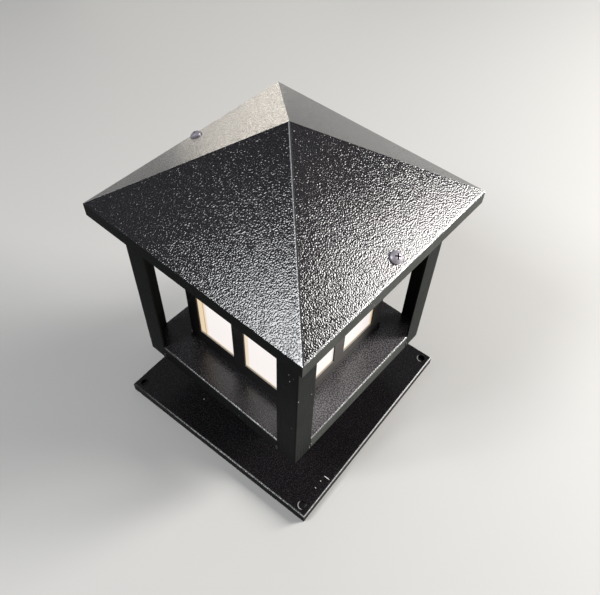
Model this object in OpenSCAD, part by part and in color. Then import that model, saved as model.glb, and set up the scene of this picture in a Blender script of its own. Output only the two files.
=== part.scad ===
// Gate light: a folded-sheet lantern under a pyramid roof, on a square base plate for a gate pillar.
// Millimetres, +Z up, origin at the centre of the base plate's lower edge.

/* [Base plate] */
// Side of the square base plate
base_w = 205; // [190:1:240]
// Height of its turned-down edge
base_edge = 10; // [8:1:20]
// Thickness of the base sheet
base_sheet = 1.5; // [1.2:0.1:2]
// Pitch of the four fixing holes, both ways
fix_pitch = 190; // [150:1:190]
// Diameter of the fixing holes
fix_d = 7; // [5:0.5:8]
// Diameter of the hole that the cable grommet sits in
entry_d = 24; // [20:1:30]
// Bore of the cable grommet
cable_d = 12; // [6:1:14]

/* [Neck] */
// Side of the square neck between the base plate and the deck
neck_w = 90; // [70:1:110]
// Clear height between the base plate and the deck's lower edge
neck_gap = 50.5; // [30:0.5:60]
// Turn of the whole head on the neck, in degrees
head_turn = 2.8; // [0:0.1:10]
// Outside diameter of the hollow threaded nipple
nipple_d = 10; // [10:1:12]

/* [Deck and posts] */
// Side of the square deck, across the outer faces of the posts
deck_w = 170; // [150:1:174]
// Height of the deck's turned-down edge
deck_edge = 16; // [10:1:20]
// Leg of each angle post
post_leg = 19; // [14:1:24]
// Thickness of the deck, post and top frame sheet
frame_sheet = 1.5; // [1.2:0.1:2]

/* [Lantern] */
// Side of the square lantern box
lantern_w = 116.5; // [104:0.5:124]
// Height of the lantern box above the deck
lantern_h = 138; // [124:1:144]
// Height of the rail below the windows
rail_h = 15.5; // [10:0.5:16]
// Width of the bar between two windows
bar_w = 12.8; // [8:0.4:18]
// Width of the frame at each corner of the lantern
corner_w = 12; // [10:0.5:16]
// Height of the windows
window_h = 106; // [80:1:106]
// Thickness of the lantern sheet
lantern_sheet = 1.2; // [1:0.1:1.5]
// Thickness of the opal diffuser panels
opal_t = 3; // [2:0.5:4]

/* [Roof] */
// Side of the square roof at its eaves
roof_w = 200; // [190:1:210]
// Rise of the roof from the eaves to the peak
roof_rise = 64; // [50:1:80]
// Height of the turned-down skirt
skirt_h = 11; // [8:1:14]
// Height of the eaves above the deck
eave_h = 158; // [156:1:175]
// Thickness of the roof sheet
roof_sheet = 1.2; // [1:0.1:1.5]
// Horizontal distance from the eaves to each roof screw
screw_inset = 8; // [7:0.5:12]
// Diameter of the roof screws
screw_d = 5; // [4:0.5:5]

/* [Hidden] */
$fn = 48;

// Finishes, as seen
black_coat = [0.09, 0.09, 0.1];
black_smooth = [0.05, 0.05, 0.055];
dark_zinc = [0.3, 0.3, 0.32];
opal_white = [0.96, 0.94, 0.88];
rubber_black = [0.12, 0.12, 0.12];
brass_yellow = [0.8, 0.65, 0.3];
phenolic_white = [0.9, 0.9, 0.86];

// Levels of the main parts above the base plate's lower edge
deck_low_z = base_edge + neck_gap;
deck_z = deck_low_z + deck_edge;
eave_z = deck_z + eave_h;
frame_top_z = eave_z - 1;
frame_flange_h = 14;
frame_flange_w = 16;
post_top_z = frame_top_z;

// Bend radii of the folded sheet, on the outside
tray_bend_r = 1.5;
neck_bend_r = 3;
post_bend_r = 1;

// Gap left for the weld where a deck edge meets a post
weld_gap = 0.3;

// Neck, nipple and the parts that it clamps
cap_t = 2;
nipple_bore_d = 7;
nipple_hole_d = nipple_d + 0.5;
nut_flat = 14;
nut_h = 4;
washer_d = 20;
washer_h = 1;
deck_under_z = deck_z - frame_sheet;
cap_under_z = deck_under_z - cap_t;
floor_top_z = deck_z + lantern_sheet;
nipple_low_z = cap_under_z - washer_h - nut_h - 3;
nipple_top_z = floor_top_z + washer_h + nut_h + 9;

// Roof slope, and the point where a screw enters it
slope = atan(roof_rise / (roof_w / 2));
downhill = [cos(slope), -sin(slope)];
outward = [sin(slope), cos(slope)];
screw_at = [roof_w / 2 - screw_inset, eave_z + roof_rise * screw_inset / (roof_w / 2)];
tab_w = 16;
tab_t = 1.6;
tab_leg_x = deck_w / 2 - 3.5;
tab_foot_w = 13;
tab_tip = 5.5;
screw_head_d = 9.5;
screw_head_h = 3.4;
screw_l = 10;
screw_nut_flat = 8;
screw_nut_h = 4;

// Lantern: the opal panels stand against the inside of the walls, held there by two lips
panel_gap = 0.2;
window_z = deck_z + rail_h;
window_w = (lantern_w - bar_w) / 2 - corner_w;
opal_face = lantern_w / 2 - lantern_sheet - panel_gap;
opal_h = lantern_h - 3;
opal_back = opal_face - opal_t;
lip_h = 8;
lip_gap = 0.2;
lip_out = opal_back - lip_gap;

// Lamp holder and bulb, stacked on the nipple
holder_d = 40;
holder_wall = 2.5;
holder_z = floor_top_z + washer_h + nut_h;
holder_neck_d = 16;
holder_neck_h = 6;
holder_cap_h = 18;
insert_d = 36;
insert_h = 9;
insert_z = holder_z + holder_cap_h;
terminal_d = 4;
terminal_l = 5;
shell_z = insert_z + insert_h;
shell_in_d = 26.6;
shell_wall = 0.5;
shell_h = 20;
sleeve_h = insert_h + shell_h + 3;
bulb_cap_d = 26.5;
bulb_cap_h = 24;
bulb_tip_d = 10;
bulb_tip_h = 3;
bulb_z = shell_z + 2;
bulb_d = 56;
bulb_h = 96;

// Unit vector along v
function unit(v) = v / norm(v);
// Unit normal on the left of leg i of a bent line
function left_of(p, i) = let (d = unit(p[i + 1] - p[i])) [-d[1], d[0]];
// Where the far face of a sheet one unit thick turns, at bend i of a bent line
function bend(p, i) =
    i == 0 ? left_of(p, 0) :
    i == len(p) - 1 ? left_of(p, i - 1) :
    (left_of(p, i - 1) + left_of(p, i)) / (1 + left_of(p, i - 1) * left_of(p, i));

// Section of a strip of sheet, t thick on the left of the bent line p
module folded_strip(p, t) {
    polygon(concat(p, [for (i = [len(p) - 1:-1:0]) p[i] + t * bend(p, i)]));
}

// Turns the head's parts on the neck
module head() {
    rotate(-head_turn) children();
}

// Rectangle of width w, from y = 0 up to h, with both upper corners rounded
module round_topped(w, h, r) {
    translate([-w / 2, 0]) square([w, h - r]);
    translate([-w / 2 + r, 0]) square([w - 2 * r, h]);
    for (s = [-1, 1]) translate([s * (w / 2 - r), h - r]) circle(r);
}

// Square with all four corners rounded, centred
module rounded_square(w, r) {
    square([w, w - 2 * r], center = true);
    square([w - 2 * r, w], center = true);
    for (sx = [-1, 1], sy = [-1, 1]) translate([sx, sy] * (w / 2 - r)) circle(r);
}

// Solid on which a section, drawn in X and Z, is seen from the front and from the side alike
module both_ways(len) {
    intersection() {
        rotate([90, 0, 0]) linear_extrude(len, center = true) children();
        rotate([90, 0, 90]) linear_extrude(len, center = true) children();
    }
}

// Shallow square tray, open below, with its edges bent down
module edge_tray(w, h, t) {
    difference() {
        both_ways(w + 2) round_topped(w, h, tray_bend_r);
        translate([0, 0, -1]) linear_extrude(h - t + 1) square(w - 2 * t, center = true);
    }
}

module base_plate() {
    color(black_coat) difference() {
        edge_tray(base_w, base_edge, base_sheet);
        for (sx = [-1, 1], sy = [-1, 1])
            translate([sx * fix_pitch / 2, sy * fix_pitch / 2, base_edge - base_sheet - 1])
                cylinder(d = fix_d, h = base_sheet + 2);
        translate([0, 0, base_edge - base_sheet - 1]) cylinder(d = entry_d, h = base_sheet + 2);
    }
}

module cable_grommet() {
    lip = 2;
    lip_r = entry_d / 2 + 3;
    bore_r = cable_d / 2;
    groove_z = base_edge - base_sheet;
    color(rubber_black) rotate_extrude() polygon([
        [bore_r, groove_z - lip], [lip_r - 1, groove_z - lip], [lip_r, groove_z - 1], [lip_r, groove_z],
        [entry_d / 2, groove_z], [entry_d / 2, base_edge],
        [lip_r, base_edge], [lip_r, base_edge + 1], [lip_r - 1, base_edge + lip], [bore_r, base_edge + lip]
    ]);
}

module neck() {
    color(black_coat) translate([0, 0, base_edge]) linear_extrude(cap_under_z - base_edge) difference() {
        rounded_square(neck_w, neck_bend_r);
        rounded_square(neck_w - 2 * frame_sheet, neck_bend_r - frame_sheet);
    }
}

module neck_cap() {
    color(black_coat) translate([0, 0, cap_under_z]) difference() {
        linear_extrude(cap_t) rounded_square(neck_w, neck_bend_r);
        translate([0, 0, -1]) cylinder(d = nipple_hole_d, h = cap_t + 2);
    }
}

module nipple() {
    color(brass_yellow) translate([0, 0, nipple_low_z]) difference() {
        cylinder(d = nipple_d, h = nipple_top_z - nipple_low_z);
        translate([0, 0, -1]) cylinder(d = nipple_bore_d, h = nipple_top_z - nipple_low_z + 2);
    }
}

// Hexagon nut standing on z = 0, with its upper corners turned off
module hex_nut(flat, h, bore) {
    corner_r = flat / 2 / cos(30);
    difference() {
        intersection() {
            cylinder(r = corner_r, h = h, $fn = 6);
            rotate_extrude() polygon([[0, 0], [corner_r, 0], [corner_r, h * 0.8], [flat * 0.46, h], [0, h]]);
        }
        translate([0, 0, -1]) cylinder(d = bore, h = h + 2);
    }
}

module nipple_nuts() {
    color(brass_yellow) {
        translate([0, 0, floor_top_z + washer_h]) hex_nut(nut_flat, nut_h, nipple_d + 0.1);
        translate([0, 0, cap_under_z - washer_h]) mirror([0, 0, 1]) hex_nut(nut_flat, nut_h, nipple_d + 0.1);
    }
}

module nipple_washers() {
    color(dark_zinc) for (z = [cap_under_z - washer_h, floor_top_z]) translate([0, 0, z]) difference() {
        cylinder(d = washer_d, h = washer_h);
        translate([0, 0, -1]) cylinder(d = nipple_hole_d, h = washer_h + 2);
    }
}

// The deck's four edges stop short of the posts, and its corners lie inside them
module deck() {
    span = deck_w - 2 * post_leg - 2 * weld_gap;
    inside = deck_w - 2 * frame_sheet;
    color(black_coat) head() translate([0, 0, deck_low_z]) difference() {
        intersection() {
            edge_tray(deck_w, deck_edge, frame_sheet);
            union() {
                translate([0, 0, -1]) linear_extrude(deck_edge + 2) {
                    square([span, deck_w + 2], center = true);
                    square([deck_w + 2, span], center = true);
                }
                translate([0, 0, deck_edge - frame_sheet - 1]) linear_extrude(frame_sheet + 2)
                    square(inside, center = true);
            }
        }
        translate([0, 0, -1]) cylinder(d = nipple_hole_d, h = deck_edge + 2);
    }
}

// Angle post with its outer corner at sx, sy of the deck
module post(sx, sy) {
    color(black_smooth) head() scale([sx, sy, 1]) translate([deck_w / 2, deck_w / 2, deck_low_z])
        linear_extrude(post_top_z - deck_low_z) difference() {
            union() {
                translate([-post_leg, -post_leg]) square([post_leg, post_leg - post_bend_r]);
                translate([-post_leg, -post_leg]) square([post_leg - post_bend_r, post_leg]);
                translate([-post_bend_r, -post_bend_r]) circle(post_bend_r);
            }
            translate([-post_leg - 1, -post_leg - 1])
                square(post_leg + 1 - frame_sheet);
        }
}

module top_frame() {
    outer = deck_w - 2 * frame_sheet;
    color(black_coat) head() translate([0, 0, frame_top_z - frame_flange_h]) difference() {
        linear_extrude(frame_flange_h) square(outer, center = true);
        translate([0, 0, -1]) linear_extrude(frame_flange_h + 1 - frame_sheet)
            square(outer - 2 * frame_sheet, center = true);
        translate([0, 0, -1]) linear_extrude(frame_flange_h + 2)
            square(outer - 2 * frame_flange_w, center = true);
    }
}

// Section through the roof, skirt and slopes, drawn in X and Z
module roof_section(half, low_z, knee_z, peak_z) {
    polygon([[-half, low_z], [half, low_z], [half, knee_z], [0, peak_z], [-half, knee_z]]);
}

module roof() {
    half = roof_w / 2;
    drop = roof_sheet / cos(slope);
    in_half = half - roof_sheet;
    in_peak_z = eave_z + roof_rise - drop;
    in_knee_z = in_peak_z - roof_rise * in_half / half;
    skirt_z = eave_z - skirt_h;
    color(black_coat) head() difference() {
        both_ways(roof_w + 2) roof_section(half, skirt_z, eave_z, eave_z + roof_rise);
        both_ways(roof_w + 2) roof_section(in_half, skirt_z - 1, in_knee_z, in_peak_z);
        for (side = [0, 180]) on_screw_axis(side) translate([0, 0, -5]) cylinder(d = screw_d + 0.6, h = 10);
    }
}

// Sets the origin where a screw enters the roof and +Z along its axis, square to the slope
module on_screw_axis(side) {
    rotate(side) translate([screw_at[0], 0, screw_at[1]]) rotate([0, slope, 0]) children();
}

// Folded tab from the top frame up to the underside of the roof
module roof_tab(side) {
    under = screw_at - (roof_sheet + tab_t) * outward;
    reach = (under[0] - tab_leg_x) / downhill[0];
    line = [
        [tab_leg_x - tab_foot_w, frame_top_z],
        [tab_leg_x, frame_top_z],
        under - reach * downhill,
        under + tab_tip * downhill
    ];
    color(black_coat) head() difference() {
        rotate(side) rotate([90, 0, 0]) linear_extrude(tab_w, center = true) folded_strip(line, tab_t);
        on_screw_axis(side) translate([0, 0, -8]) cylinder(d = screw_d + 0.4, h = 10);
    }
}

// Pan-head screw with a cross recess, its head's underside on z = 0
module pan_screw() {
    r = screw_head_d / 2;
    rim_h = 1.2;
    dome_h = screw_head_h - rim_h;
    dome_r = (r * r + dome_h * dome_h) / (2 * dome_h);
    slot_w = 1.1;
    slot_l = 4.6;
    slot_depth = 2;
    difference() {
        union() {
            cylinder(r = r, h = rim_h);
            rotate_extrude() intersection() {
                translate([0, rim_h / 2]) square([r, screw_head_h]);
                translate([0, screw_head_h - dome_r]) circle(dome_r);
            }
            translate([0, 0, -screw_l]) cylinder(d = screw_d - 0.1, h = screw_l);
        }
        for (a = [45, 135]) rotate(a) translate([-slot_l / 2, -slot_w / 2, screw_head_h - slot_depth])
            cube([slot_l, slot_w, slot_depth + 1]);
    }
}

module roof_screws() {
    color(dark_zinc) head() for (side = [0, 180]) on_screw_axis(side) pan_screw();
}

module roof_screw_nuts() {
    color(dark_zinc) head() for (side = [0, 180]) on_screw_axis(side)
        translate([0, 0, -roof_sheet - tab_t]) mirror([0, 0, 1]) hex_nut(screw_nut_flat, screw_nut_h, screw_d);
}

// Tray whose upturned lips keep the feet of the opal panels against the walls
module lantern_floor() {
    color(black_coat) head() translate([0, 0, deck_z]) difference() {
        linear_extrude(lip_h) square(2 * lip_out, center = true);
        translate([0, 0, lantern_sheet]) linear_extrude(lip_h)
            square(2 * (lip_out - lantern_sheet), center = true);
        translate([0, 0, -1]) cylinder(d = nipple_hole_d, h = lip_h);
    }
}

// One wall of the lantern with two windows, its outer face at y = -lantern_w / 2
module lantern_wall(w) {
    color(black_coat) head() translate([0, -lantern_w / 2, 0]) difference() {
        translate([-w / 2, 0, deck_z]) cube([w, lantern_sheet, lantern_h - lantern_sheet]);
        for (s = [-1, 1]) translate([s * (bar_w + window_w) / 2 - window_w / 2, -1, window_z])
            cube([window_w, lantern_sheet + 2, window_h]);
    }
}

module lantern_front() { lantern_wall(lantern_w); }
module lantern_back() { rotate(180) lantern_wall(lantern_w); }
module lantern_right() { rotate(90) lantern_wall(lantern_w - 2 * lantern_sheet); }
module lantern_left() { rotate(270) lantern_wall(lantern_w - 2 * lantern_sheet); }

// Cover ring that closes the tops of the walls, its inner edge turned down behind the opal panels
module lantern_top() {
    top_z = deck_z + lantern_h;
    color(black_coat) head() difference() {
        union() {
            translate([0, 0, top_z - lantern_sheet]) linear_extrude(lantern_sheet)
                square(lantern_w, center = true);
            translate([0, 0, top_z - lip_h]) linear_extrude(lip_h) square(2 * lip_out, center = true);
        }
        translate([0, 0, top_z - lip_h - 1]) linear_extrude(lip_h + 2)
            square(2 * (lip_out - lantern_sheet), center = true);
    }
}

// Opal panel behind one wall's windows
module diffuser(w) {
    color(opal_white) head() translate([-w / 2, -opal_face, deck_z]) cube([w, opal_t, opal_h]);
}

module diffuser_front() { diffuser(2 * opal_face - 2 * lip_gap); }
module diffuser_back() { rotate(180) diffuser(2 * opal_face - 2 * lip_gap); }
module diffuser_right() { rotate(90) diffuser(2 * opal_back - 2 * lip_gap); }
module diffuser_left() { rotate(270) diffuser(2 * opal_back - 2 * lip_gap); }

// Cap of the lamp holder, screwed on the nipple, with a shoulder that widens to its rim
module holder_cap() {
    r = holder_d / 2;
    bore_r = nipple_d / 2 + 0.05;
    neck_r = holder_neck_d / 2;
    shoulder_h = 7;
    floor_t = 3;
    color(phenolic_white) translate([0, 0, holder_z]) rotate_extrude() polygon([
        [bore_r, 0], [neck_r, 0], [neck_r, holder_neck_h], [r, holder_neck_h + shoulder_h], [r, holder_cap_h],
        [r - holder_wall, holder_cap_h], [r - holder_wall, holder_neck_h + shoulder_h + 1],
        [neck_r, holder_neck_h + floor_t], [bore_r, holder_neck_h + floor_t]
    ]);
}

module holder_insert() {
    r = insert_d / 2;
    color(phenolic_white) translate([0, 0, insert_z]) difference() {
        cylinder(r = r, h = insert_h);
        for (s = [-1, 1]) translate([s * r, 0, insert_h / 2]) rotate([0, 90, 0])
            cylinder(d = terminal_d + 0.2, h = 2 * terminal_l, center = true);
    }
}

// Sprung strip that meets the tip of the bulb
module holder_contact() {
    strip_w = 5;
    strip_t = 0.6;
    line = [[-8, shell_z], [-3, shell_z], [0, bulb_z - strip_t], [4, bulb_z - strip_t]];
    color(brass_yellow) rotate([90, 0, 0]) linear_extrude(strip_w, center = true) folded_strip(line, strip_t);
}

// Screws that clamp the two wires in the sides of the insert
module holder_terminals() {
    r = insert_d / 2;
    slot = [terminal_d + 1, 0.8, 1];
    color(brass_yellow) for (s = [-1, 1]) translate([s * (r - terminal_l), 0, insert_z + insert_h / 2])
        rotate([0, s * 90, 0]) difference() {
            cylinder(d = terminal_d, h = terminal_l - 0.5);
            translate([-slot[0] / 2, -slot[1] / 2, terminal_l - 1.3]) cube(slot);
        }
}

// Screw shell of the lamp holder
module holder_shell() {
    color(brass_yellow) translate([0, 0, shell_z]) difference() {
        cylinder(d = shell_in_d + 2 * shell_wall, h = shell_h);
        translate([0, 0, -1]) cylinder(d = shell_in_d, h = shell_h + 2);
    }
}

// Outer sleeve of the lamp holder
module holder_sleeve() {
    r = holder_d / 2;
    color(phenolic_white) translate([0, 0, insert_z]) difference() {
        cylinder(r = r, h = sleeve_h);
        translate([0, 0, -1]) cylinder(d = insert_d + 0.4, h = sleeve_h + 2);
    }
}

// Sealed bulb: contact tip, screw cap, tapering body and round globe
module bulb() {
    tip_r = bulb_tip_d / 2;
    cap_r = bulb_cap_d / 2;
    globe_r = bulb_d / 2;
    globe_z = bulb_h - globe_r;
    color(opal_white) translate([0, 0, bulb_z]) rotate_extrude() {
        polygon([
            [0, 0], [tip_r, 0], [tip_r, bulb_tip_h - 1], [cap_r - 3, bulb_tip_h], [cap_r, bulb_tip_h + 3],
            [cap_r, bulb_cap_h], [cap_r + 2, bulb_cap_h + 4], [globe_r * cos(30), globe_z - globe_r * 0.5],
            [globe_r, globe_z], [0, globe_z]
        ]);
        translate([0, globe_z]) intersection() {
            circle(globe_r);
            translate([0, -globe_r]) square([globe_r, 2 * globe_r]);
        }
    }
}

base_plate();
cable_grommet();
neck();
neck_cap();
nipple();
nipple_nuts();
nipple_washers();
deck();
post(1, -1);  // post_front
post(1, 1);  // post_right
post(-1, 1);  // post_back
post(-1, -1);  // post_left
top_frame();
roof();
roof_tab(0);  // roof_tab_right
roof_tab(180);  // roof_tab_left
roof_screws();
roof_screw_nuts();
lantern_floor();
lantern_front();
lantern_back();
lantern_right();
lantern_left();
lantern_top();
diffuser_front();
diffuser_back();
diffuser_right();
diffuser_left();
holder_cap();
holder_insert();
holder_contact();
holder_terminals();
holder_shell();
holder_sleeve();
bulb();
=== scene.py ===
import math
import random
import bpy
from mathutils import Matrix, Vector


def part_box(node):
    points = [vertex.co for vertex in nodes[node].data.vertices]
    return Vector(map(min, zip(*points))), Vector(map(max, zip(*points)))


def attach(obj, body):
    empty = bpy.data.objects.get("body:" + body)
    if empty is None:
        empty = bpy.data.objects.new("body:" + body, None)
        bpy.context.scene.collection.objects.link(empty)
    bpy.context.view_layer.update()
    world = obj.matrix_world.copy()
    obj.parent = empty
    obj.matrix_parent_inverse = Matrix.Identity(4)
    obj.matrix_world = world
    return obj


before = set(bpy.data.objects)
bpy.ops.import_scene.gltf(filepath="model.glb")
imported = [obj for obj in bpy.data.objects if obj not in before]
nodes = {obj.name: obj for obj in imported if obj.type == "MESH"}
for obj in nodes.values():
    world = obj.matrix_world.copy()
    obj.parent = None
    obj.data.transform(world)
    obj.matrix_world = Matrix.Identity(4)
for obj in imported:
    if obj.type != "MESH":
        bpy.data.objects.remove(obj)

from types import SimpleNamespace

import bmesh
import bpy
from mathutils import Matrix, Vector

scene = bpy.context.scene
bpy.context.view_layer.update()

# The camera: a phone held above the lantern's front corner, looking down on it.
# Its place, aim and tilt are solved from the straight edges of the roof, posts and base plate.
camera_at = Vector((0.21241, -0.26894, 0.54921))
camera_aim = Vector((0.02187, -0.01091, 0.1500))
camera_tilt = math.radians(2.234)
camera_data = bpy.data.cameras.new("camera")
camera_data.sensor_width = 36.0
camera_data.lens = 39.36
camera_data.clip_start = 0.01
camera = bpy.data.objects.new("camera", camera_data)
scene.collection.objects.link(camera)
camera.rotation_mode = "QUATERNION"
camera.location = camera_at
toward = (camera_aim - camera_at).to_track_quat("-Z", "Y")
camera.rotation_quaternion = toward @ Matrix.Rotation(camera_tilt, 3, "Z").to_quaternion()
scene.camera = camera

# The studio: a plain pale floor at the height that the base plate stands on, and an even pale
# surround. A large soft light stands behind on the right, a weaker one high on the left in front,
# and a low, weak, warm card behind on the left.
scene.view_settings.view_transform = "Standard"
lights_aim = Vector((0.0, 0.0, 0.2))


def feed(tree, node, inputs):
    """Link each named socket of a node to another node's output, or set it to a plain value."""
    for name, value in inputs.items():
        if isinstance(value, bpy.types.NodeSocket):
            tree.links.new(value, node.inputs[name])
        else:
            node.inputs[name].default_value = value


def shader(tree, kind, inputs=None, **settings):
    """A new node of a material, with its settings and sockets filled in."""
    made = tree.nodes.new(kind)
    for name, value in settings.items():
        setattr(made, name, value)
    feed(tree, made, inputs or {})
    return made


def new_material(name):
    """A material with nothing in it but its surface and its output."""
    material = bpy.data.materials.new(name)
    material.use_nodes = True
    tree = material.node_tree
    tree.nodes.clear()
    surface = shader(tree, "ShaderNodeBsdfPrincipled")
    shader(tree, "ShaderNodeOutputMaterial", {"Surface": surface.outputs["BSDF"]})
    return material, tree, surface


def soft_light(name, azimuth, elevation, distance, size, power, tint, roll=0.0):
    """A rectangular card of light that stands off the lantern and faces its middle; angles in degrees."""
    data = bpy.data.lights.new(name, "AREA")
    data.shape = "RECTANGLE"
    data.size, data.size_y = size
    data.energy = power
    data.color = tint
    light = bpy.data.objects.new(name, data)
    scene.collection.objects.link(light)
    round_it, above_it = math.radians(azimuth), math.radians(elevation)
    out = Vector((math.cos(round_it) * math.cos(above_it), math.sin(round_it) * math.cos(above_it),
                  math.sin(above_it)))
    light.location = lights_aim + out * distance
    light.rotation_mode = "QUATERNION"
    rolled = Matrix.Rotation(math.radians(roll), 3, "Z").to_quaternion()
    light.rotation_quaternion = (-out).to_track_quat("-Z", "Y") @ rolled
    return light


soft_light("window_light", azimuth=46, elevation=22.5, distance=1.6, size=(0.95, 0.42), power=41, roll=-58,
           tint=(1.0, 0.98, 0.95))
soft_light("fill_light", azimuth=-114, elevation=47, distance=1.6, size=(0.44, 0.5), power=15,
           tint=(0.96, 0.98, 1.0))
low_card = soft_light("low_card", azimuth=138, elevation=-7, distance=0.98, size=(0.5, 0.12), power=0.18,
                      tint=(1.0, 0.92, 0.80))
low_card.data.spread = math.radians(80)
low_card.visible_camera = False

world = bpy.data.worlds.new("surround")
world.use_nodes = True
feed(world.node_tree, world.node_tree.nodes["Background"], {"Color": (0.93, 0.95, 1.0, 1.0), "Strength": 0.20})
scene.world = world

floor_half = 8.0
floor_corners = [(-floor_half, -floor_half, 0), (floor_half, -floor_half, 0),
                 (floor_half, floor_half, 0), (-floor_half, floor_half, 0)]
floor_mesh = bpy.data.meshes.new("floor")
floor_mesh.from_pydata(floor_corners, [], [(0, 1, 2, 3)])
floor = bpy.data.objects.new("floor", floor_mesh)
scene.collection.objects.link(floor)
floor_paint, floor_tree, floor_surface = new_material("floor_paint")
feed(floor_tree, floor_surface, {"Base Color": (0.60, 0.592, 0.575, 1.0), "Roughness": 0.7})
floor_mesh.materials.append(floor_paint)

# The base plate: 1.5 mm steel sheet, its edge turned down all round, with four fixing holes. It has
# the fine sandy black powder coat of the deck, worn pale on its bends with a painted highlight there, and
# nicked near the front. The turned-down edge is coated smooth, with light painted on its sides that look
# to the right.
pale_bend_and_highlight = (0.66, 0.66, 0.66)
chipped_coat = (0.62, 0.61, 0.58)
rubbed_coat = (0.55, 0.55, 0.52)
nib_dust = (0.42, 0.43, 0.40)
hole_rim_pale = (0.50, 0.50, 0.48)


def math_node(tree, operation, *values):
    return shader(tree, "ShaderNodeMath", dict(enumerate(values)), operation=operation).outputs[0]


def vector_node(tree, operation, *values):
    made = shader(tree, "ShaderNodeVectorMath", dict(enumerate(values)), operation=operation)
    return made.outputs["Value" if operation in ("LENGTH", "DOT_PRODUCT") else "Vector"]


def product(tree, first, *others):
    for other in others:
        first = math_node(tree, "MULTIPLY", first, other)
    return first


def scaled(tree, value, by, plus):
    return math_node(tree, "MULTIPLY_ADD", value, by, plus)


def step_between(tree, value, low, high):
    """0 below low and 1 above high, with a soft step between them."""
    return shader(tree, "ShaderNodeMapRange", {"Value": value, "From Min": low, "From Max": high},
                  interpolation_type="SMOOTHSTEP").outputs["Result"]


def band(tree, value, rise, full, fall, end):
    """1 from full to fall, and 0 before rise and after end."""
    return product(tree, step_between(tree, value, rise, full),
                   math_node(tree, "SUBTRACT", 1.0, step_between(tree, value, fall, end)))


def place_on_part(tree, turn=0.0):
    """The point in the part's own metres, turned back by the angle at which the head sits."""
    coords = shader(tree, "ShaderNodeTexCoord")
    return shader(tree, "ShaderNodeMapping",
                  {"Vector": coords.outputs["Object"], "Rotation": (0, 0, turn)}).outputs["Vector"]


def face_direction(tree):
    geometry = shader(tree, "ShaderNodeNewGeometry")
    return shader(tree, "ShaderNodeSeparateXYZ", {0: geometry.outputs["True Normal"]}).outputs


def whereabouts(tree, turn):
    """Where a point of the part lies, and which way its face looks."""
    place = place_on_part(tree, turn)
    parts = shader(tree, "ShaderNodeSeparateXYZ", {0: place}).outputs
    return SimpleNamespace(place=place, x=parts["X"], y=parts["Y"], level=parts["Z"],
                           facing=face_direction(tree))


def noise(tree, place, scale, detail=2.0, roughness=0.5):
    return shader(tree, "ShaderNodeTexNoise",
                  {"Vector": place, "Scale": scale, "Detail": detail, "Roughness": roughness}).outputs["Fac"]


def patches(tree, place):
    """Breaks a worn line up into dots and dashes about a millimetre long."""
    return step_between(tree, noise(tree, place, 900.0, 1.0), 0.46, 0.56)


def blend_colours(tree, amount, first, second):
    first, second = [(*tone, 1.0) if isinstance(tone, tuple) else tone for tone in (first, second)]
    return shader(tree, "ShaderNodeMix", {0: amount, 6: first, 7: second}, data_type="RGBA").outputs[2]


def mark(tree, place, at, size, turn=0.0):
    """A small ragged spot at one point of the part; size holds half its length, width and height."""
    off = vector_node(tree, "SUBTRACT", place, at)
    shaped = shader(tree, "ShaderNodeMapping",
                    {"Vector": off, "Rotation": (0, 0, -turn), "Scale": tuple(1 / s for s in size)})
    far = vector_node(tree, "LENGTH", shaped.outputs["Vector"])
    uneven = math_node(tree, "ADD", far, product(tree, noise(tree, place, 1800), 0.9))
    return math_node(tree, "SUBTRACT", 1.0, step_between(tree, uneven, 1.15, 1.5))


def right_side_painted_light(tree, facing, cloud, by, plus, colour, dust):
    """Painted light on the faces that look to the right, where the light falls, uneven in clouds; the last
    argument is its tone.
    """
    looks_right = step_between(tree, facing["X"], 0.5, 0.8)
    return blend_colours(tree, product(tree, looks_right, scaled(tree, cloud, by, plus)), colour, dust)


def bend_wear_and_highlight(tree, spot, half, level, width, dotted):
    """Coat rubbed off the bends of a square sheet, with a painted highlight on them: a full line on the lit
    right side, brighter towards the back, and a broken hair line of painted glints on the left.

    half is half the square's side, level the height of the bend, width that of the full line, and dotted
    the strength of the broken one."""
    reach = math_node(tree, "MAXIMUM", math_node(tree, "ABSOLUTE", spot.x), math_node(tree, "ABSOLUTE", spot.y))
    above = step_between(tree, spot.level, level - 0.0016, level - 0.0012)
    line = step_between(tree, reach, half - width * 0.95, half - width * 0.7)
    fuller_behind = scaled(tree, step_between(tree, spot.y, -half, half), 0.4, 0.4)
    right = product(tree, step_between(tree, spot.x, half - 0.004, half - 0.003), line, fuller_behind)
    hair = band(tree, reach, half - width * 0.7, half - width * 0.55, half - width * 0.3, half - width * 0.15)
    broken = scaled(tree, patches(tree, spot.place), 0.8 * dotted, 0.2 * dotted)
    left = product(tree, hair, broken, step_between(tree, spot.x, -1.1 * half, 0.1 * half))
    return product(tree, above, math_node(tree, "MAXIMUM", left, right))


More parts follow.
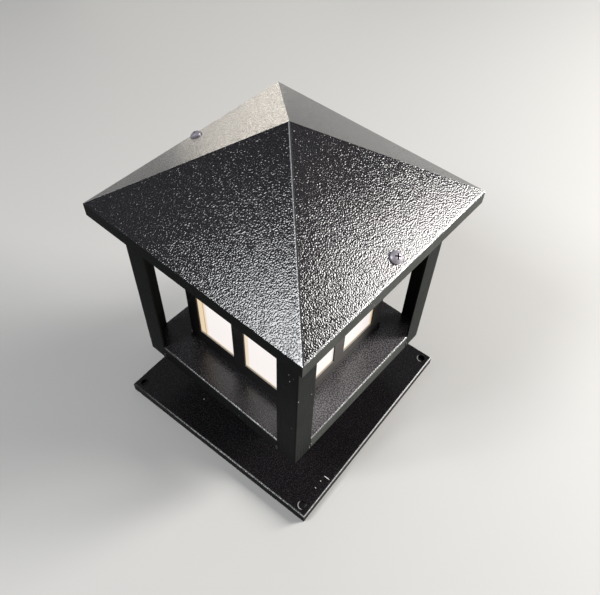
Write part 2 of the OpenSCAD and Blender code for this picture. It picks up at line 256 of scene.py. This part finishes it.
def powder_coat(name, grain, relief, turn=0.0, dark=0.007, gloss=0.16, dusty=0.1, sandy=0.0, ior=1.52,
                lit_side_tone=None, bend=None, wear_and_painted_light=None, marks=()):
    """Black powder coat on sheet steel. grain is the width of a wrinkle and relief its height, in metres.

    dark and sandy are the tones of the coat and of its crumbs, gloss its roughness and dusty its sheen.
    bend is what the worn and highlighted bends are drawn from, the next argument adds the wear and
    painted light that one piece alone shows, and marks are its chips."""
    material, tree, surface = new_material(name)
    spot = whereabouts(tree, turn)
    lying = step_between(tree, math_node(tree, "ABSOLUTE", spot.facing["Z"]), 0.25, 0.7)
    wrinkles = noise(tree, spot.place, 1.0 / grain, 0.0)
    peaked = scaled(tree, step_between(tree, wrinkles, 0.56, 0.78), 0.12, wrinkles)
    sanded = scaled(tree, noise(tree, spot.place, 2.6 / grain, 1.0), 0.03, peaked)
    bump = shader(tree, "ShaderNodeBump",
                  {"Distance": relief, "Strength": scaled(tree, lying, 0.8, 0.2), "Height": sanded})

    cloud = noise(tree, spot.place, 22.0, 3.0, 0.6)
    colour = blend_colours(tree, cloud, (dark * 0.85, dark * 0.78, dark * 0.86),
                           (dark * 1.3, dark * 1.16, dark * 1.34))
    if sandy:
        crumbs = step_between(tree, noise(tree, spot.place, 1.15 / grain, 1.0), 0.5, 0.72)
        colour = blend_colours(tree, crumbs, colour, (sandy, sandy * 0.9, sandy * 0.97))
    roughness = scaled(tree, cloud, 0.06, gloss - 0.03)
    # painted light on the faces that look to the right
    if lit_side_tone:
        colour = right_side_painted_light(tree, spot.facing, cloud, 0.5, 0.7, colour, lit_side_tone)
    # the bends worn pale, with a painted highlight on them
    if bend:
        colour = blend_colours(tree, bend_wear_and_highlight(tree, spot, *bend), colour, pale_bend_and_highlight)
    if wear_and_painted_light:
        colour, roughness = wear_and_painted_light(tree, spot, colour, roughness)
    for at, size, angle in marks:
        colour = blend_colours(tree, mark(tree, spot.place, at, size, angle), colour, chipped_coat)
    feed(tree, surface, {"Base Color": colour, "Roughness": roughness, "Normal": bump.outputs["Normal"],
                         "IOR": ior, "Sheen Weight": dusty, "Sheen Roughness": 0.35,
                         "Sheen Tint": (1.0, 0.93, 0.85, 1.0)})
    return material


def smooth_coat(name, turn, lit_side_tone, marks=()):
    """The same black where it lies smooth: long streaks, a few pale nibs of dust, painted light on the right.
    """
    material, tree, surface = new_material(name)
    place = place_on_part(tree, turn)
    peel = noise(tree, place, 420.0)
    drawn_out = shader(tree, "ShaderNodeMapping", {"Vector": place, "Scale": (900, 900, 28)})
    streak = noise(tree, drawn_out.outputs["Vector"], 1.0, 3.0, 0.6)
    bump = shader(tree, "ShaderNodeBump",
                  {"Strength": 0.25, "Distance": 0.00012, "Height": scaled(tree, streak, 0.15, peel)})

    cloud = noise(tree, place, 30.0, 3.0, 0.6)
    colour = blend_colours(tree, cloud, (0.0030, 0.0035, 0.0032), (0.006, 0.007, 0.0065))
    # painted light on the faces that look to the right
    colour = right_side_painted_light(tree, face_direction(tree), cloud, 1.1, 0.4, colour, lit_side_tone)
    nibs = shader(tree, "ShaderNodeTexVoronoi", {"Vector": place, "Scale": 210.0, "Randomness": 1.0},
                  feature="F1")
    nib_tone = shader(tree, "ShaderNodeSeparateColor", {0: nibs.outputs["Color"]})
    rare = step_between(tree, nib_tone.outputs[0], 0.955, 0.965)
    dot = math_node(tree, "SUBTRACT", 1.0, step_between(tree, nibs.outputs["Distance"], 0.05, 0.11))
    colour = blend_colours(tree, product(tree, rare, dot, 0.7), colour, nib_dust)
    for at, size, angle in marks:
        colour = blend_colours(tree, mark(tree, place, at, size, angle), colour, rubbed_coat)
    feed(tree, surface, {"Base Color": colour, "Roughness": scaled(tree, streak, 0.12, 0.22),
                         "Normal": bump.outputs["Normal"], "IOR": 1.06})
    return material


def finish_node(name, material, upright=None):
    """Coat one node of the part, and its upright faces in another coat where one is named."""
    part = nodes[name]
    part.data.materials.clear()
    part.data.materials.append(material)
    if upright:
        part.data.materials.append(upright)
        for face in part.data.polygons:
            face.material_index = int(abs(face.normal.z) < 0.2)
    return part


base_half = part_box("base_plate")[1].x
base_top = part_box("base_plate")[1].z
base_hole_out = 0.095
base_hole_radius = 0.0035
base_marks = [
    (Vector((0.0966, -0.0629, base_top)), (0.0033, 0.0005, 0.002), math.radians(-11)),
    (Vector((0.0945, -0.0762, base_top)), (0.0007, 0.0004, 0.002), 0.0),
    (Vector((0.0942, -0.0685, base_top)), (0.0005, 0.0006, 0.002), 0.0),
    (Vector((-0.0392, -0.0728, base_top)), (0.0005, 0.0006, 0.002), 0.5),
]


def hole_rims(tree, spot, colour, roughness):
    """A thin pale crescent, front left on the rim of the front hole and of the one on the right."""
    for side_x, side_y in ((1, -1), (1, 1)):
        centre = Vector((side_x * base_hole_out, side_y * base_hole_out, base_top))
        off = vector_node(tree, "SUBTRACT", spot.place, centre)
        rim = band(tree, vector_node(tree, "LENGTH", off), base_hole_radius - 0.0004, base_hole_radius,
                   base_hole_radius + 0.0004, base_hole_radius + 0.0008)
        front_left = step_between(tree, vector_node(tree, "DOT_PRODUCT", off, (-0.65, -0.76, 0.0)),
                                  base_hole_radius * 0.2, base_hole_radius * 0.8)
        colour = blend_colours(tree, product(tree, rim, front_left, 0.8), colour, hole_rim_pale)
    return colour, roughness


base_coat = powder_coat("base_coat", grain=0.0009, relief=0.00008, dark=0.006, gloss=0.22, sandy=0.030,
                        ior=1.40, bend=(base_half, base_top, 0.0009, 1.0), wear_and_painted_light=hole_rims, marks=base_marks)
edge_coat = smooth_coat("edge_coat", 0.0, lit_side_tone=(0.012, 0.012, 0.011))
finish_node("base_plate", base_coat, upright=edge_coat)

# The neck: a square tube folded from the same sheet, with a flat cap. It is welded on the base plate
# and carries the deck, and a bead of weld runs along the foot of each of its sides.
neck_coat = powder_coat("neck_coat", grain=0.0010, relief=0.00014)
finish_node("neck", neck_coat)
finish_node("neck_cap", neck_coat)
weld_coat = powder_coat("weld_coat", grain=0.0012, relief=0.00010, gloss=0.3)
head_turn = math.radians(2.8)
bead_sides = 8
rings_to_a_ripple = 3


def weld_bead(name, start, end, radius, squash, seed, turned=True):
    """A bead laid from start to end as overlapping ripples, sunk a little into the sheet.

    squash flattens it, and turned lays it on the head, which sits off square."""
    rng = random.Random(seed)
    run = Vector(end) - Vector(start)
    length = run.length
    across = run.normalized().orthogonal()
    other = run.normalized().cross(across)
    steps = max(3, int(length / (radius * 0.8))) * rings_to_a_ripple
    rings = []
    mesh = bmesh.new()
    for i in range(steps + 1):
        t = i / steps
        ripple = 1.0 + 0.16 * math.cos(i / rings_to_a_ripple * math.tau) + rng.uniform(-0.08, 0.08)
        r = radius * ripple * min(1.0, 0.25 + 3.2 * min(t, 1 - t) * length / (radius * 3))
        middle = Vector(start) + run * t
        ring = []
        for k in range(bead_sides):
            a = k / bead_sides * math.tau
            rim = across * (math.cos(a) * r) + other * (math.sin(a) * r * squash)
            ring.append(mesh.verts.new(middle + rim))
        rings.append(ring)
    for first, second in zip(rings, rings[1:]):
        for k in range(bead_sides):
            after = (k + 1) % bead_sides
            mesh.faces.new((first[k], first[after], second[after], second[k]))
    mesh.faces.new(rings[0][::-1])
    mesh.faces.new(rings[-1])
    bmesh.ops.recalc_face_normals(mesh, faces=mesh.faces)
    for face in mesh.faces:
        face.smooth = True
    data = bpy.data.meshes.new(name)
    mesh.to_mesh(data)
    mesh.free()
    bead = bpy.data.objects.new(name, data)
    scene.collection.objects.link(bead)
    if turned:
        data.transform(Matrix.Rotation(-head_turn, 4, "Z"))
    data.materials.append(weld_coat)
    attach(bead, "root")


neck_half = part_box("neck")[1].x
neck_bend = 0.004
bead_stands_out = 0.0002
bead_lift = 0.0004
square_corners = [(-1, -1), (1, -1), (1, 1), (-1, 1)]
for i, (a, b) in enumerate(zip(square_corners, square_corners[1:] + square_corners[:1])):
    out_x, out_y = (a[0] + b[0]) / 2, (a[1] + b[1]) / 2
    along_x, along_y = (b[0] - a[0]) / 2, (b[1] - a[1]) / 2
    start, end = [Vector((out_x * neck_half + reach * along_x, out_y * neck_half + reach * along_y,
                          base_top + bead_lift)) + Vector((out_x, out_y, 0)) * bead_stands_out
                  for reach in (neck_bend - neck_half, neck_half - neck_bend)]
    weld_bead(f"neck_weld_{i + 1}", start, end, 0.0016, 0.9, 20 + i, turned=False)

# The grommet: soft black rubber, moulded, and pushed into the hole in the base plate where the
# supply cable comes through.


def clouded_material(name, first, second, scale, roughness, detail=3.0, breakup=0.5, metallic=0.0):
    """A material whose tone drifts from first to second in soft clouds, scale of them to the metre."""
    material, tree, surface = new_material(name)
    clouds = noise(tree, place_on_part(tree), scale, detail, breakup)
    feed(tree, surface, {"Base Color": blend_colours(tree, clouds, first, second), "Roughness": roughness,
                         "Metallic": metallic})
    return material, tree, surface


def fine_relief(tree, surface, scale, height):
    """A fine even roughness that can be felt, height metres deep."""
    bump = shader(tree, "ShaderNodeBump",
                  {"Strength": 0.3, "Distance": height, "Height": noise(tree, place_on_part(tree), scale)})
    feed(tree, surface, {"Normal": bump.outputs["Normal"]})


rubber, rubber_tree, rubber_surface = clouded_material(
    "grommet_rubber", (0.012, 0.012, 0.012), (0.035, 0.034, 0.033), scale=140, roughness=0.62, breakup=0.6)
fine_relief(rubber_tree, rubber_surface, scale=900, height=0.0001)
finish_node("cable_grommet", rubber)

# The deck: a square sheet with its edges turned down between the posts, in the same sandy coat. Its
# bends are worn pale with a painted highlight, and light is painted on its right part as a coarse gravel of
# pale crumbs. It is clamped on the neck by the nipple, a little off square, and its edges are coated
# smooth, with light painted on those that look to the right.
deck_low, deck_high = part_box("deck")
deck_top = deck_high.z
deck_bottom = deck_low.z
deck_half = 0.0850
deck_grain = 0.0009
painted_light_crumbs = (0.150, 0.140, 0.148)


def off_hip(tree, spot):
    """How much nearer a point is to the right or left edge than to the front or back one."""
    return math_node(tree, "SUBTRACT", math_node(tree, "ABSOLUTE", spot.x), math_node(tree, "ABSOLUTE", spot.y))


def painted_light_gravel(tree, spot, colour, roughness):
    """Painted light on the deck's right part, where the light falls: pale crumbs in a coarse gravel."""
    right_part = product(tree, step_between(tree, off_hip(tree, spot), -0.008, 0.012),
                         math_node(tree, "GREATER_THAN", spot.x, 0.0))
    gravel = step_between(tree, noise(tree, spot.place, 0.8 / deck_grain, 0.0), 0.40, 0.62)
    lit = product(tree, right_part, scaled(tree, gravel, 0.85, 0.15))
    return blend_colours(tree, lit, colour, painted_light_crumbs), roughness


deck_coat = powder_coat("deck_coat", grain=deck_grain, relief=0.00010, turn=head_turn, dark=0.007, gloss=0.19,
                        sandy=0.055, ior=1.6, bend=(deck_half, deck_top, 0.0009, 1.0), wear_and_painted_light=painted_light_gravel)
rim_coat = smooth_coat("rim_coat", head_turn, lit_side_tone=(0.070, 0.074, 0.068))
finish_node("deck", deck_coat, upright=rim_coat)

# The posts: four angles folded from sheet and welded outside the deck and the top frame. Their coat
# is the same black, but lies smooth on the flanges, with a few dust nibs, rubs and streaks, and light is
# painted on the flanges that look to the right.
post_marks = [
    (Vector((0.0850, -0.0837, 0.1569)), (0.002, 0.0004, 0.0006), 0.0),
    (Vector((0.0850, -0.0696, 0.1493)), (0.002, 0.0005, 0.0005), 0.0),
    (Vector((0.0778, -0.0850, 0.1771)), (0.0004, 0.002, 0.0005), 0.0),
    (Vector((0.0769, -0.0850, 0.1844)), (0.0003, 0.002, 0.0004), 0.0),
    (Vector((0.0850, -0.0671, 0.0640)), (0.002, 0.0004, 0.0030), 0.0),
]
post_coat = smooth_coat("post_coat", head_turn, lit_side_tone=(0.020, 0.022, 0.020), marks=post_marks)
for name in ("post_front", "post_right", "post_back", "post_left"):
    finish_node(name, post_coat)

# The deck's tack welds: a short upright bead in each gap where an end of a turned-down edge meets a
# post. They are laid before the coating, and so they are as black as the rest.
post_leg = 0.019
edge_end = deck_half - post_leg
tack_sunk = 0.0003
tack_lift = 0.0020
tack_length = 0.0052
tack = 0
for side_x in (-1, 1):
    for side_y in (-1, 1):
        for x, y, inward in (
                (side_x * deck_half, side_y * edge_end, (-side_x * tack_sunk, 0, 0)),
                (side_x * edge_end, side_y * deck_half, (0, -side_y * tack_sunk, 0))):
            tack += 1
            foot = Vector((x, y, deck_bottom + tack_lift)) + Vector(inward)
            weld_bead(f"deck_tack_{tack}", foot, foot + Vector((0, 0, tack_length)), 0.0008, 0.9, 40 + tack)

# The top frame and the two roof tabs: a ring of folded steel that joins the posts under the roof,
# and a tab welded on it at the right and at the left, which rises to the slope for a roof screw.
inner_coat = powder_coat("inner_coat", grain=0.0011, relief=0.00014, turn=head_turn)
for name in ("top_frame", "roof_tab_right", "roof_tab_left"):
    finish_node(name, inner_coat)

# The lantern: four walls of thin sheet, tacked at the corners, with the metal turned in round each
# window. Floor and top are folded from the same sheet. The windows' light is painted pale on the flat of
# the sills, light is painted on the walls that look to the right, and a shadow line is painted round the foot.
lantern_half = 0.05825
lantern_sill = deck_top + 0.0155
painted_foot_shadow = (0.004, 0.004, 0.004)
painted_sill_light = (0.40, 0.37, 0.33)


def foot_shadow_and_sill_light(tree, spot, colour, roughness):
    """A painted shadow line round the lantern's foot, and the windows' light painted pale on the flat of the
    sills.
    """
    foot_shadow_line = band(tree, spot.level, lantern_sill - 0.0125, lantern_sill - 0.0121,
                     lantern_sill - 0.0117, lantern_sill - 0.0113)
    colour = blend_colours(tree, foot_shadow_line, colour, painted_foot_shadow)
    flat = step_between(tree, spot.facing["Z"], 0.8, 0.9)
    at_sill = math_node(tree, "COMPARE", spot.level, lantern_sill, 0.001)
    return blend_colours(tree, product(tree, flat, at_sill, 0.8), colour, painted_sill_light), roughness


lantern_coat = powder_coat("lantern_coat", grain=0.0009, relief=0.00010, turn=head_turn, dark=0.005, gloss=0.3,
                           dusty=0.0, sandy=0.012, ior=1.15, lit_side_tone=(0.10, 0.094, 0.090), wear_and_painted_light=foot_shadow_and_sill_light)
for name in ("lantern_front", "lantern_back", "lantern_right", "lantern_left", "lantern_floor", "lantern_top"):
    finish_node(name, lantern_coat)
for i, (side_x, side_y) in enumerate(square_corners):
    foot = Vector((side_x * (lantern_half - 0.0002), side_y * (lantern_half - 0.0002), deck_top + 0.0002))
    weld_bead(f"lantern_tack_{i + 1}", foot, foot + Vector((0, 0, 0.0060)), 0.0011, 0.95, 60 + i)

# The windows: a sheet of opal acrylic behind each wall, held against it by the lips of the lantern's
# floor and top. The warm lamp lights it from inside, and it is darker and browner where the bar, the
# sill and the next sheet shade it.
opal_shaded = (0.86, 0.66, 0.38)
opal_joint_shadow = (0.44, 0.28, 0.12)
opal, opal_tree, opal_surface = new_material("opal_acrylic")
pane = whereabouts(opal_tree, head_turn)
# the distance along a wall from its middle, above zero toward the lantern's right or left corner
along_pane = math_node(opal_tree, "ADD", product(opal_tree, pane.y, pane.facing["X"]),
                       product(opal_tree, pane.x, pane.facing["Y"]))
corner_shade = product(opal_tree, step_between(opal_tree, along_pane, 0.0385, 0.0430), 0.8)
bar_shade = product(opal_tree, band(opal_tree, along_pane, -0.0078, -0.0068, -0.001, 0.0), 0.6)
low_shade = product(opal_tree, step_between(opal_tree, pane.level, lantern_sill + 0.003, lantern_sill), 0.6)
shaded = math_node(opal_tree, "MAXIMUM", math_node(opal_tree, "MAXIMUM", corner_shade, bar_shade), low_shade)
# a painted shadow line where the next sheet meets this one
joint_shadow_line = math_node(opal_tree, "COMPARE", along_pane, 0.0431, 0.0005)
haze = noise(opal_tree, pane.place, 30)
glow = blend_colours(opal_tree, haze, (0.99, 0.925, 0.905), (1.0, 0.945, 0.925))
glow = blend_colours(opal_tree, shaded, glow, opal_shaded)
glow = blend_colours(opal_tree, product(opal_tree, joint_shadow_line, 0.75), glow, opal_joint_shadow)
feed(opal_tree, opal_surface, {
    "Base Color": blend_colours(opal_tree, shaded, (0.20, 0.19, 0.18), (0.16, 0.12, 0.08)),
    "Roughness": 0.25, "Emission Color": glow, "Emission Strength": 0.84})
for name in ("diffuser_front", "diffuser_back", "diffuser_right", "diffuser_left"):
    finish_node(name, opal)

# The roof: one sheet folded to a pyramid with a turned-down skirt and welded along a hip, in a heavy
# wrinkled powder coat. A highlight is painted on the hips and along the right eaves, a shadow line beside
# the front hip, and light on the skirt's faces that look to the right.
roof_low, roof_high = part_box("roof")
roof_skirt = 0.011
eave_level = roof_low.z + roof_skirt
roof_half = 0.100
front_hip_highlight = (0.42, 0.42, 0.44)
left_hip_glints = (0.60, 0.59, 0.57)
front_hip_shadow_tone = (0.003, 0.003, 0.003)


def hip_highlights_and_shadow(tree, spot, colour, roughness):
    """Painted light on the hips: a bright line on the front hip with a shadow line beside it, dots on the left
    hip.
    """
    beside = off_hip(tree, spot)
    in_front = math_node(tree, "LESS_THAN", spot.y, 0.0)
    front_hip = product(tree, math_node(tree, "GREATER_THAN", spot.x, 0.0), in_front)
    bright = product(tree, band(tree, beside, -0.0010, -0.0007, -0.0001, 0.0002), front_hip, 0.8)
    dots = product(tree, scaled(tree, front_hip, -1.0, 1.0), patches(tree, spot.place),
                   band(tree, beside, -0.0002, 0.0, 0.0005, 0.0008), in_front)
    # a painted shadow line just beside the front hip
    front_hip_shadow = product(tree, front_hip, band(tree, beside, 0.0, 0.0003, 0.0012, 0.0015))
    colour = blend_colours(tree, bright, colour, front_hip_highlight)
    colour = blend_colours(tree, dots, colour, left_hip_glints)
    colour = blend_colours(tree, front_hip_shadow, colour, front_hip_shadow_tone)
    return colour, scaled(tree, front_hip_shadow, 0.7, roughness)


roof_coat = powder_coat("roof_coat", grain=0.00095, relief=0.00015, turn=head_turn, dark=0.010, gloss=0.12,
                        dusty=0.04, sandy=0.040, bend=(roof_half, eave_level, 0.0013, 0.0), wear_and_painted_light=hip_highlights_and_shadow)
roof = finish_node("roof", roof_coat, upright=rim_coat)
flat_faces = roof.modifiers.new("flat_faces", "DECIMATE")
flat_faces.decimate_type = "DISSOLVE"
flat_faces.angle_limit = math.radians(1.5)
rounded = roof.modifiers.new("rounded_edges", "BEVEL")
rounded.width = 0.0008
rounded.segments = 2
rounded.limit_method = "ANGLE"
rounded.angle_limit = math.radians(28)
rounded.harden_normals = True

# The roof screws, their nuts and the nipple's washers: bought steel pieces in dark zinc. The screws
# have pan heads with a cross recess, painted near black as its shade, and go through the slopes into the tabs.
zinc = clouded_material("dark_zinc", (0.38, 0.35, 0.40), (0.54, 0.51, 0.56), scale=700, roughness=0.42,
                        breakup=0.6, metallic=0.6)[0]
for name in ("roof_screws", "roof_screw_nuts", "nipple_washers"):
    finish_node(name, zinc)
# the faces inside the cross recess are painted near black, as shade
recess, recess_tree, recess_surface = clouded_material(
    "recess_painted_shade", (0.002, 0.002, 0.002), (0.006, 0.006, 0.007), scale=900, roughness=0.8, detail=2.0)
feed(recess_tree, recess_surface, {"IOR": 1.1})
screw_inset = 0.008
recess_reach = 0.0027
recess_floor_reach = 0.0024
slope = math.atan2(roof_high.z - eave_level, roof_half)
screws = nodes["roof_screws"]
screws.data.materials.append(recess)
for side in (0.0, math.pi):
    swing = Matrix.Rotation(side - head_turn, 3, "Z")
    axis = swing @ Vector((math.sin(slope), 0, math.cos(slope)))
    entry = swing @ Vector((roof_half - screw_inset, 0, eave_level + screw_inset * math.tan(slope)))
    for face in screws.data.polygons:
        off = face.center - entry
        height = off.dot(axis)
        from_axis = (off - axis * height).length
        looks_out = face.normal.dot(axis)
        in_wall = from_axis < recess_reach and height > 0.0008 and looks_out < 0.5
        in_floor = from_axis < recess_floor_reach and 0.0002 < height < 0.0027 and looks_out > 0.9
        if in_wall or in_floor:
            face.material_index = 1
screws.modifiers.new("smooth", "WEIGHTED_NORMAL")

# The nipple, its two nuts and the metal pieces of the lamp holder: plain turned or pressed brass,
# left bare. The nipple clamps neck cap, deck and lantern floor, and lets the wires through.
brass = clouded_material("turned_brass", (0.52, 0.36, 0.13), (0.68, 0.50, 0.22), scale=300, roughness=0.35,
                         metallic=1.0)[0]
for name in ("nipple", "nipple_nuts", "holder_contact", "holder_terminals", "holder_shell"):
    finish_node(name, brass)

# The lamp holder's cap and outer sleeve: pressed white phenolic, slightly clouded. The cap screws on
# the nipple, and the sleeve covers the brass shell.
phenolic = clouded_material("white_phenolic", (0.72, 0.71, 0.66), (0.82, 0.81, 0.77), scale=120,
                            roughness=0.42)[0]
for name in ("holder_cap", "holder_sleeve"):
    finish_node(name, phenolic)

# The lamp holder's insert: fired steatite, pale and matt with fine brown specks. It sits in the cap
# and carries the contact strip, the terminals and the shell.
steatite, steatite_tree, steatite_surface = new_material("fired_steatite")
specks = step_between(steatite_tree, noise(steatite_tree, place_on_part(steatite_tree), 1500, 2.0, 0.6),
                      0.58, 0.70)
speckled = blend_colours(steatite_tree, product(steatite_tree, specks, 0.35), (0.80, 0.78, 0.72),
                         (0.42, 0.36, 0.28))
feed(steatite_tree, steatite_surface, {"Base Color": speckled, "Roughness": 0.6})
fine_relief(steatite_tree, steatite_surface, scale=2200, height=0.00006)
finish_node("holder_insert", steatite)

# The bulb: a bought globe on a plated screw cap, kept as one sealed piece. The points of its mesh
# that lie on each other at the pole are merged.
bulb_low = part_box("bulb")[0].z
cap_top = bulb_low + 0.024
bulb_glass, bulb_tree, bulb_surface = new_material("bulb_glass")
bulb_spot = shader(bulb_tree, "ShaderNodeSeparateXYZ", {0: place_on_part(bulb_tree)}).outputs
on_globe = step_between(bulb_tree, bulb_spot["Z"], cap_top - 0.0005, cap_top + 0.0005)
feed(bulb_tree, bulb_surface, {
    "Base Color": blend_colours(bulb_tree, on_globe, (0.55, 0.56, 0.58), (0.95, 0.94, 0.90)),
    "Metallic": math_node(bulb_tree, "SUBTRACT", 1.0, on_globe),
    "Emission Color": blend_colours(bulb_tree, on_globe, (0.0, 0.0, 0.0), (1.0, 0.9, 0.75)),
    "Emission Strength": 2.0, "Roughness": 0.3})
bulb = finish_node("bulb", bulb_glass)
closed_pole = bulb.modifiers.new("closed_pole", "WELD")
closed_pole.merge_threshold = 0.000001
